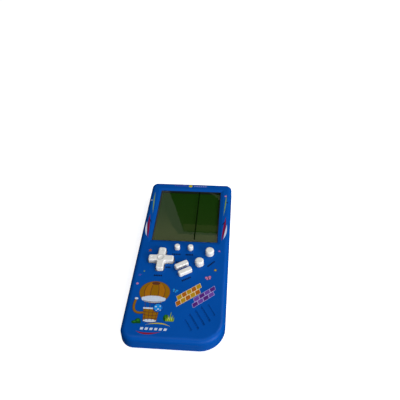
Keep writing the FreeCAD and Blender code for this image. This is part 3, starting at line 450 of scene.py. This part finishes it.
def finishes():
    """The finish of each material slot in the record."""
    blue = (0.0, 0.064, 0.325, 1.0)
    return {
        "body_blue": body_plastic("case_plastic", blue),
        "door_blue": body_plastic("door_plastic", scaled(blue, 0.96)),
        "bezel_black": plain_plastic("bezel_plastic", (0.012, 0.014, 0.013), 0.4),
        "lens_clear": clear_lens("lens_acrylic"),
        "polariser_film": display_face("display_film"),
        "display_glass": display_glass("display_glass"),
        "reflector_foil": worked_metal("reflector_foil", (0.42, 0.47, 0.33, 1), 0.25),
        "frame_white": plain_plastic("frame_plastic", (0.70, 0.70, 0.66)),
        "connector_rubber": soft_rubber("connector_rubber", (0.30, 0.06, 0.10, 1)),
        "board_laminate": laminate("board_laminate"),
        "contact_carbon": soft_rubber("contact_carbon", (0.02, 0.02, 0.022, 1)),
        "epoxy_black": plain_plastic("drop_epoxy", (0.012, 0.012, 0.012), 0.2),
        "component_ceramic": plain_plastic("fired_ceramic", (0.50, 0.42, 0.28), 0.5),
        "capacitor_sleeve": plain_plastic("capacitor_sleeve", (0.02, 0.025, 0.08), 0.3),
        "membrane_silicone": soft_rubber("membrane_silicone", (0.48, 0.50, 0.53, 1)),
        "key_white": key_plastic("key_plastic"),
        "pivot_nylon": plain_plastic("pivot_nylon", (0.75, 0.72, 0.64), 0.4),
        "sounder_brass": worked_metal("sounder_brass", (0.20, 0.13, 0.06, 1), 0.4),
        "cell_wrap": cell_wrap("cell_wrap_left", LEFT_NUB_LOW),
        "contact_steel": worked_metal("contact_steel", (0.68, 0.67, 0.65, 1), 0.22),
        "screw_steel": worked_metal("screw_steel", (0.55, 0.55, 0.55, 1), 0.3, (20.0, 1.0, 1.0)),
    }


def dress_nodes():
    """Gives every modelled node the finish of its slot."""
    looks = finishes()
    for part in frame["record"]["subparts"]:
        node = frame["nodes"][part["node"]]
        node.data.materials.clear()
        node.data.materials.append(looks[part["material_slot"]])
    low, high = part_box("cross_pad")
    pad_finish = key_plastic("pad_plastic", ((low + high) / 2, PAD_RING_RADIUS, PAD_RING_WIDTH))
    frame["nodes"]["cross_pad"].data.materials[0] = pad_finish
    frame["nodes"]["battery_cell_right"].data.materials[0] = cell_wrap("cell_wrap_right", not LEFT_NUB_LOW)
    return looks


def add_piece(name, bm, materials):
    """Makes a finished bmesh a piece of the scene, with its materials."""
    mesh = bpy.data.meshes.new(name)
    bm.to_mesh(mesh)
    bm.free()
    for material in materials:
        mesh.materials.append(material)
    piece = bpy.data.objects.new(name, mesh)
    bpy.context.scene.collection.objects.link(piece)
    return piece


class Print:
    """A motif printed on the case, built from flat shapes, each a little higher than the one before."""

    def __init__(self, name, base=FACE, slot="key_white"):
        self.name = name
        self.base = base
        self.slot = slot
        self.bm = bmesh.new()
        self.inks = []
        self.layer = 1

    def lay(self, before, colour):
        """Gives the faces made since before their ink, their thickness and their layer."""
        faces = [face for face in self.bm.faces if face not in before]
        if colour not in self.inks:
            self.inks.append(colour)
        for face in faces:
            face.material_index = self.inks.index(colour)
        made = bmesh.ops.extrude_face_region(self.bm, geom=faces, use_keep_orig=True)["geom"]
        tops = [item for item in made if isinstance(item, bmesh.types.BMVert)]
        bmesh.ops.translate(self.bm, verts=tops, vec=(0, 0, INK_SINK + self.layer * INK_LAYER))
        self.layer += 1

    def disc(self, colour, x, y, rx, ry=None, turn=0.0, segments=40):
        """A round or oval spot; few segments make it a polygon."""
        before = set(self.bm.faces)
        place = Matrix.Translation(Vector((x, y, 0)) * MM) @ Matrix.Rotation(math.radians(turn), 4, "Z")
        size = Matrix.Diagonal((rx * MM, (ry or rx) * MM, 1, 1))
        bmesh.ops.create_circle(self.bm, cap_ends=True, segments=segments, radius=1.0, matrix=place @ size)
        self.lay(before, colour)

    def star(self, colour, x, y, radius):
        """A star with a point straight up."""
        before = set(self.bm.faces)
        made = bmesh.ops.create_circle(self.bm, cap_ends=True, segments=STAR_POINTS * 2, radius=radius * MM)
        for i, vert in enumerate(made["verts"]):
            vert.co *= STAR_WAIST if i % 2 else 1.0
        bmesh.ops.translate(self.bm, verts=made["verts"], vec=Vector((x, y, 0)) * MM)
        self.lay(before, colour)

    def panel(self, colour, corners):
        """A flat shape with straight sides."""
        before = set(self.bm.faces)
        made = bmesh.ops.create_circle(self.bm, cap_ends=True, segments=len(corners), radius=1.0)
        for vert, (x, y) in zip(made["verts"], corners):
            vert.co = Vector((x, y, 0)) * MM
        self.lay(before, colour)

    def stroke(self, colour, start, bend, end, width, taper=1.0):
        """A curved stroke from start to end, pulled towards bend, with taper narrowing its ends."""
        before = set(self.bm.faces)
        made = bmesh.ops.create_grid(self.bm, x_segments=STROKE_STEPS, y_segments=1, size=0.5)
        a, b, c = (Vector((*p, 0)) for p in (start, bend, end))
        for vert in made["verts"]:
            t = vert.co.x + 0.5
            side = vert.co.y
            centre = a * (1 - t) ** 2 + b * 2 * t * (1 - t) + c * t**2
            along = ((b - a) * (1 - t) + (c - b) * t).normalized()
            across = Vector((-along.y, along.x, 0))
            swell = 1 - taper + taper * math.sin(math.pi * min(max(t, 0.02), 0.98))
            vert.co = (centre + across * side * width * swell) * MM
        self.lay(before, colour)

    def done(self, looks):
        """Finishes the motif and puts it on the case."""
        bmesh.ops.recalc_face_normals(self.bm, faces=self.bm.faces[:])
        bmesh.ops.translate(self.bm, verts=self.bm.verts[:], vec=(0, 0, self.base - INK_SINK))
        piece = add_piece(self.name, self.bm, [looks[colour] for colour in self.inks])
        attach(piece, "case")


def print_balloon(looks):
    """The big motif: a balloon with curved seams, a scalloped white skirt and a wicker basket."""
    art = Print("print_balloon")
    x, y = -18.0, -45.6
    for side in (-1, 1):
        for top, foot in ((6.6, 4.9), (2.4, 1.6)):
            rope = (x + side * top, y - 8), (x + side * top * 0.9, y - 12), (x + side * foot, y - 16)
            art.stroke("dark", *rope, 0.45, 0)
    art.disc("dark", x, y, 12.6, 10.9)
    art.disc("orange", x, y, 12.2, 10.5)
    for reach in (8.3, 3.2):
        art.disc("brown", x, y, reach + 0.25, 10.3)
        art.disc("amber" if reach > 5 else "orange", x, y, reach - 0.25, 10.3)
    art.disc("brown", x, y + 8.6, 3.4, 1.5)
    art.disc("white", x, y - 6.9, 9.6, 3.3)
    for i in range(7):
        art.disc("white", x + (i - 3) * 2.75, y - 5.0 - abs(i - 3) * 0.42, 1.5, 1.2)
    art.stroke("brown", (x - 8.4, y - 8.2), (x, y - 10.9), (x + 8.4, y - 8.2), 0.5, 0.4)
    low = y - 15.4
    art.panel("dark", [(x - 6.8, low), (x + 6.2, low), (x + 5.2, low - 11.4), (x - 5.6, low - 11.4)])
    art.disc("dark", x - 0.2, low - 11.2, 5.5, 1.7)
    weave = [(x - 6.4, low - 0.4), (x + 5.8, low - 0.4), (x + 4.8, low - 11.2), (x - 5.2, low - 11.2)]
    art.panel("orange", weave)
    art.disc("white", x - 0.2, low - 11.2, 5.1, 1.3)
    for i in range(3):
        rung = low - 3.2 - i * 2.9
        art.stroke("brown", (x - 6.1 + i * 0.3, rung), (x, rung - 1.0), (x + 5.6 - i * 0.3, rung), 0.4, 0)
    for i in range(4):
        foot = -4.2 + i * 2.7
        stake = (x + foot * 1.2, low - 0.6), (x + foot * 1.1, low - 6), (x + foot, low - 11)
        art.stroke("brown", *stake, 0.35, 0)
    rim = [(x - 6.9, low + 0.5), (x + 6.3, low + 0.5), (x + 6.2, low - 0.8), (x - 6.8, low - 0.8)]
    art.panel("white", rim)
    art.stroke("dark", (x - 13.6, y - 6.6), (x - 17.6, y - 22.6), (x - 5.6, y - 19.6), 2.2, 0)
    art.stroke("orange", (x - 13.6, y - 7.0), (x - 17.3, y - 22.2), (x - 5.8, y - 19.6), 1.5, 0)
    art.disc("white", x - 13.6, y - 7.0, 1.4, 1.0)
    art.done(looks)


def print_ball(looks):
    """The spotted ball beside the basket, printed over it."""
    art = Print("print_ball")
    art.layer = BALL_LAYER
    x, y, r = -13.1, -60.5, 4.0
    art.disc("navy", x, y, r)
    art.disc("deep", x, y, r - 0.25)
    art.disc("sky", x - 0.5, y + 0.6, r - 1.0)
    spots = (-1.9, 1.0, 0.62), (0.1, -1.1, 0.6), (1.4, 1.6, 0.5), (1.8, -2.0, 0.42), (-1.2, -2.4, 0.4)
    for dx, dy, size in spots:
        art.disc("white", x + dx, y + dy, size)
    art.done(looks)


def print_grass(looks):
    """The low bush on the left and the bright tuft on the right."""
    art = Print("print_grass")
    clumps = [
        (-29.8, -74.0, 2.3, 1.5),
        (-27.2, -72.8, 2.3, 2.4),
        (-25.8, -74.0, 1.3, 1.2),
        (-6.1, -69.0, 2.1, 3.1),
    ]
    lights = [(-27.0, -72.2, 1.2, 1.2), (-29.6, -73.6, 1.1, 0.6), (-6.3, -67.6, 0.9, 1.4)]
    for colour, spots in (("leaf", clumps), ("moss", lights)):
        for spot in spots:
            art.disc(colour, *spot)
    blades = ((-5.9, -68.2), (-4.5, -66.4), (-2.3, -63.6), (-0.7, -66.4), (0.4, -68.2))
    for i, (x, y) in enumerate(blades):
        foot = -5.2 + i * 1.2
        art.panel("lime", [(foot - 0.9, -71.4), (foot + 0.9, -71.4), (x + 0.15, y), (x - 0.15, y)])
    art.panel("lime", [(-6.2, -70.6), (0.2, -70.6), (0.1, -72.0), (-6.0, -72.0)])
    for i in range(3):
        art.stroke("straw", (-4.4 + i * 1.5, -71.6), (-4.0 + i * 1.3, -69.4), (-3.7 + i * 1.1, -67.8), 0.5)
    art.done(looks)


def print_banner(looks):
    """Two swooshes with an even row of plain slanted dashes between them."""
    art = Print("print_banner")
    art.stroke("gold", (-21.0, -75.8), (-9.0, -72.2), (-1.6, -76.4), 1.0)
    art.stroke("red", (-27.2, -81.4), (-20.5, -85.2), (-8.2, -81.4), 1.5)
    for i in range(6):
        x = -24.4 + i * 3.6
        art.panel("white", [(x, -80.2), (x + 2.2, -80.2), (x + 2.7, -78.2), (x + 0.5, -78.2)])
    art.done(looks)


def print_bricks(looks, name, corner, along, up, columns, inks):
    """A slanted wall of staggered bricks with a light edge round each."""
    art = Print(name)
    corner, along, up = Vector(corner), Vector(along), Vector(up)
    for row in range(BRICK_ROWS):
        shift = 0.5 if row % 2 else 0.0
        for column in range(columns):
            start = (column + shift) / (columns + 0.5)
            stop = (column + shift + 1) / (columns + 0.5)
            for colour, margin in ((inks[2], 0.0), (inks[(row + column) % 2], BRICK_EDGE)):
                inset = margin / along.length
                rise = margin / up.length
                s0, s1 = start + inset, stop - inset
                u0, u1 = row / BRICK_ROWS + rise, (row + 1) / BRICK_ROWS - rise
                sides = (s0, u0), (s1, u0), (s1, u1), (s0, u1)
                art.panel(colour, [corner + along * s + up * u for s, u in sides])
    art.done(looks)


def print_legends(looks):
    """The small dark legends beside the keys, as plain dashes."""
    art = Print("print_legends")
    marks = [
        (-5.2, -5.1, 7.6, 0.0),
        (6.1, -5.1, 6.8, 0.0),
        (-2.7, -13.9, 4.4, 0.0),
        (6.1, -31.1, 8.6, 32.0),
        (25.5, -14.1, 8.6, 46.0),
        (-10.5, -19.8, 4.4, 4.0),
        (-17.9, -28.8, 7.2, 0.0),
    ]
    for x, y, length, turn in marks:
        count = max(3, round(length / LEGEND_PITCH))
        direction = Vector((math.cos(math.radians(turn)), math.sin(math.radians(turn))))
        art.layer = 1
        for i in range(count):
            offset = direction * ((i - (count - 1) / 2) * length / count)
            art.disc("shade", x + offset.x, y + offset.y, 0.62, 0.95, turn, 8)
    art.done(looks)


def print_butterfly(looks, name, x, y, size, turn, wing, edge):
    """A small butterfly: two pairs of wings and a slim body."""
    art = Print(name)
    spin = math.radians(turn)
    for side in (-1, 1):
        for reach, rise, rx, ry in ((0.55, 0.25, 0.55, 0.42), (0.42, -0.38, 0.36, 0.30)):
            dx, dy = side * reach * size, rise * size
            px = x + dx * math.cos(spin) - dy * math.sin(spin)
            py = y + dx * math.sin(spin) + dy * math.cos(spin)
            lean = turn + side * 24
            art.disc(edge, px, py, rx * size + 0.22, ry * size + 0.22, lean, 24)
            art.disc(wing, px, py, rx * size, ry * size, lean, 24)
    art.disc("dark", x, y, 0.16 * size, 0.7 * size, turn, 16)
    art.done(looks)


def print_stars(looks):
    """The scattered stars and dots."""
    art = Print("print_stars")
    stars = [
        (-28.4, -1.8, 2.0, "red", "amber"),
        (31.8, 0.4, 1.5, "violet", "pink"),
        (29.5, -20.5, 2.0, "dark", "gold"),
        (-33.0, -29.0, 1.4, "violet", "deep"),
        (-30.0, -25.0, 0.9, "lime", "lime"),
        (34.4, 52.0, 1.0, "navy", "lime"),
    ]
    dots = [
        (-33.5, -38.0, 1.0, "pink"),
        (-37.0, 62.0, 0.6, "white"),
        (34.4, 71.0, 1.0, "pink"),
        (36.2, 62.0, 0.9, "navy"),
    ]
    for x, y, size, outer, inner in stars:
        art.star(outer, x, y, size)
        art.star(inner, x, y, size * STAR_FILL)
    for x, y, size, colour in dots:
        art.disc(colour, x, y, size)
    art.done(looks)


def print_streaks(looks):
    """The tall streaks down both sides of the screen."""
    for name, side in (("print_streak_left", -1), ("print_streak_right", 1)):
        art = Print(name)
        strokes = [
            ("lime", (0.8, 74.0), (0.6, 60.0), (-1.0, 44.0), 1.1),
            ("deep", (1.8, 70.0), (1.4, 58.0), (-0.2, 48.0), 0.9),
            ("crimson", (1.2, 42.6), (0.8, 26.0), (-1.4, 12.6), 2.1),
            ("white", (2.6, 33.0), (2.4, 22.0), (0.2, 14.8), 1.6),
            ("shade", (0.8, 36.6), (-0.6, 34.0), (-1.6, 31.4), 0.9),
        ]
        for colour, *path, width in strokes:
            start, bend, end = (((STREAK_OUT + x) * side, y) for x, y in path)
            art.stroke(colour, start, bend, end, width)
        art.done(looks)


def print_top_mark(looks):
    """The yellow dot above the screen and a row of pale dashes on each side of it."""
    art = Print("print_top_mark")
    art.disc("gold", -1.1, 84.1, 1.9, 1.7)
    for i in range(6):
        for side, colour in ((-1, "violet"), (1, "lilac")):
            art.disc(colour, -1.1 + side * (4.2 + i * 2.2), 84.1 - side * 0.2, 0.8, 0.6, 30, 6)
    art.done(looks)


def display_rules(looks):
    """The dark line on the lens that parts the play field from the score column."""
    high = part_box("screen_window")[1]
    art = Print("display_rules", base=high.z, slot="lens_clear")
    art.panel("rule", [(8.15, 13.6), (9.1, 13.6), (9.0, 76.6), (8.05, 76.6)])
    art.done(looks)


def grille_floors(looks):
    """The blue floors of the three middle grooves, with small round dark spots of painted shade in them
    standing for sound holes.
    """
    low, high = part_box("sounder_disc")
    centre = (low + high) / 2 / MM
    turn = math.radians(GRILLE_TURN)
    across = Vector((math.cos(turn), math.sin(turn)))
    along = Vector((-across.y, across.x))
    art = Print("grille_floors", base=FACE - GROOVE_DEPTH - 3 * INK_SINK, slot="body_blue")
    for i in (-1, 0, 1):
        middle = centre.xy + across * i * GRILLE_STEP + along * i * GRILLE_PITCH
        reach = across * (GROOVE_LENGTH / 2 - GROOVE_END)
        art.layer = 1
        art.stroke("floor_blue", middle - reach, middle, middle + reach, FLOOR_WIDTH, 0)
        for j in range(-3, 4):
            # Painted shade: dark dots stand in for the shade inside sound holes; the floors themselves are not
            # pierced
            hole_shade_spot = middle + across * j * HOLE_PITCH
            art.disc("shade", hole_shade_spot.x, hole_shade_spot.y, HOLE_RADIUS, segments=12)
    art.done(looks)


def screw_recess_shade(looks):
    """A dark cross of painted shade on the head of each case screw, seen from the back, standing in for the
    shade in its cross recess.
    """
    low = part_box("case_screws")[0].z
    bm = bmesh.new()
    for x, y in CASE_SCREWS:
        for turn, height in ((CROSS_TURN, CROSS_LOWER_BAR), (CROSS_TURN + 90, CROSS_UPPER_BAR)):
            place = Matrix.Translation((x * MM, y * MM, low)) @ Matrix.Rotation(math.radians(turn), 4, "Z")
            size = Matrix.Diagonal((CROSS_LENGTH * MM, CROSS_WIDTH * MM, height * MM, 1))
            bmesh.ops.create_cube(bm, size=1.0, matrix=place @ size)
    # Painted shade: the dark rule material laid as thin flat crosses where the recess's shade would fall
    piece = add_piece("screw_cross_painted_shade", bm, [looks["rule"]])
    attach(piece, "case")


def make_camera():
    """The camera, above the lower end of the case and a little to its right."""
    camera = bpy.data.objects.new("camera", bpy.data.cameras.new("camera"))
    bpy.context.scene.collection.objects.link(camera)
    camera.data.sensor_width = CAMERA_SENSOR
    camera.data.lens = CAMERA_LENS
    camera.data.clip_start = 0.01
    turn = Matrix.Rotation(math.radians(CAMERA_HEADING), 4, "Z")
    tilt = Matrix.Rotation(math.radians(90 - CAMERA_DIP), 4, "X")
    roll = Matrix.Rotation(math.radians(CAMERA_ROLL), 4, "Z")
    camera.matrix_world = Matrix.Translation(CAMERA_PLACE) @ turn @ tilt @ roll
    bpy.context.scene.camera = camera


def flat_piece(name, corners, shader):
    """A flat piece of the studio, from its corners."""
    bm = bmesh.new()
    made = bmesh.ops.create_circle(bm, cap_ends=True, segments=len(corners), radius=1.0)
    for vert, corner in zip(made["verts"], corners):
        vert.co = corner
    piece = add_piece(name, bm, [shader.material])
    return piece


def make_floor():
    """The pale sheet that the game lies on. It glows a little, lights nothing, and is clear from below."""
    shader = Shader("floor_paper")
    cloud = shader.noise(6.0, 2.0)
    shader.set(Base_Color=shader.mix(cloud, (0.93, 0.93, 0.935, 1), (0.95, 0.95, 0.955, 1)))
    shader.set(Roughness=0.8, Specular_IOR_Level=0.1)
    shader.set(Emission_Color=(1.0, 1.0, 1.0, 1.0), Emission_Strength=0.62)
    under = shader.node("ShaderNodeNewGeometry", {}, {})["Backfacing"]
    clear = shader.node("ShaderNodeBsdfTransparent", {}, {"Color": (1, 1, 1, 1)})[0]
    both = shader.node("ShaderNodeMixShader", {}, {0: under, 1: shader.surface[0], 2: clear})[0]
    shader.put(shader.output.node.inputs["Surface"], both)
    sides = ((-1, -1), (1, -1), (1, 1), (-1, 1))
    corners = [(x * FLOOR_REACH, y * FLOOR_REACH, -FLOOR_DROP) for x, y in sides]
    floor = flat_piece("floor", corners, shader)
    floor.visible_diffuse = False
    floor.visible_glossy = False
    floor.visible_shadow = False


def make_cards():
    """Pale panels behind, out of view, whose mirror images lie across the screen. Each has its step back,
    its glow below and above, and its corners."""
    dim, warm, faint, lamp = (0.40, 0.37, 0.37), (0.84, 0.74, 0.54), (0.20, 0.17, 0.08), (0.30, 0.28, 0.22)
    cards = {
        "card_wall": (0.0, dim, dim, [(-0.19, 0.72), (-0.165, 0.83), (-0.14, 0.965), (0.06, 0.965),
                      (0.06, 1.08), (-0.32, 1.08), (-0.29, 0.72)]),
        "card_sill": (-0.002, dim, warm, [(-0.30, 0.72), (-0.21, 0.815), (-0.18, 0.935), (-0.16, 0.975),
                      (0.06, 0.975), (0.06, 1.08), (-0.32, 1.08)]),
        "card_shelf": (0.002, faint, faint, [(-0.14, 0.925), (0.06, 0.93), (0.06, 0.96), (-0.14, 0.96)]),
        "card_lamp": (0.002, lamp, lamp, [(-0.055, 0.76), (-0.005, 0.785), (-0.005, 0.805)]),
    }
    for name, (step, upper, lower, corners) in cards.items():
        shader = Shader(name)
        drop = shader.clamp((shader.axis(2) - CARD_FADE_FROM) / CARD_FADE, 0.0, 1.0)
        glow = shader.mix(drop, (*upper, 1.0), (*lower, 1.0))
        shader.set(Base_Color=(0.0, 0.0, 0.0, 1), Specular_IOR_Level=0.0)
        shader.set(Emission_Color=glow, Emission_Strength=1.0)
        card = flat_piece(name, [(x, CARD_DISTANCE + step, z) for x, z in corners], shader)
        card.visible_camera = False
        card.visible_diffuse = False
        card.visible_shadow = False


def area_light(name, place, size, power, tint=(1.0, 1.0, 1.0)):
    """A soft lamp that faces the game."""
    light = bpy.data.lights.new(name, "AREA")
    light.shape = "RECTANGLE"
    light.size, light.size_y = size
    light.energy = power
    light.color = tint
    lamp = bpy.data.objects.new(name, light)
    bpy.context.scene.collection.objects.link(lamp)
    lamp.location = place
    lamp.rotation_euler = (-Vector(place)).to_track_quat("-Z", "Y").to_euler()
    return lamp


def make_light():
    """A dim even sky, four soft lamps above and one below the floor for the back."""
    world = bpy.data.worlds.new("studio")
    bpy.context.scene.world = world
    world.use_nodes = True
    sky = world.node_tree.nodes["Background"].inputs
    sky["Color"].default_value = (0.9, 0.95, 1.0, 1)
    sky["Strength"].default_value = 0.12
    world.cycles_visibility.glossy = False
    area_light("key_light", (0.75, 0.35, 0.95), (0.55, 0.55), 5.6, (1.0, 0.99, 0.97))
    area_light("top_light", (-0.1, -0.25, 1.3), (1.1, 0.8), 5.3)
    area_light("side_light", (0.8, -0.6, 0.30), (0.5, 0.5), 8.8)
    under = area_light("under_light", (0.1, -0.2, -0.9), (1.0, 1.0), 4.0)
    under.visible_glossy = False
    area_light("front_light", (0.35, -1.0, 0.40), (0.8, 0.5), 4.0)


def main():
    """Dresses the modelled pieces, prints the case and sets up the studio."""
    looks = dress_nodes()
    looks.update({name: ink(name) for name in INKS})
    looks["floor_blue"] = looks["body_blue"]
    looks["rule"] = plain_plastic("display_rule", (0.002, 0.006, 0.001), 0.6, 0.0)
    print_balloon(looks)
    print_ball(looks)
    print_grass(looks)
    print_banner(looks)
    warm, cool = ("tangerine", "straw_gold", "cream"), ("purple", "violet", "lilac")
    print_bricks(looks, "print_bricks_upper", (1.1, -58.4), (19.8, 15.4), (-3.0, 8.4), 5, warm)
    print_bricks(looks, "print_bricks_lower", (14.2, -58.8), (18.1, 14.9), (-2.7, 7.3), 4, cool)
    print_legends(looks)
    print_butterfly(looks, "print_butterfly_pink", 24.1, -29.0, 2.3, 18.0, "pink", "crimson")
    print_butterfly(looks, "print_butterfly_blue", -1.7, -43.3, 2.3, -20.0, "sky", "navy")
    print_stars(looks)
    print_streaks(looks)
    print_top_mark(looks)
    display_rules(looks)
    grille_floors(looks)
    screw_recess_shade(looks)
    make_camera()
    make_floor()
    make_cards()
    make_light()
    bpy.context.scene.view_settings.view_transform = "Standard"


main()
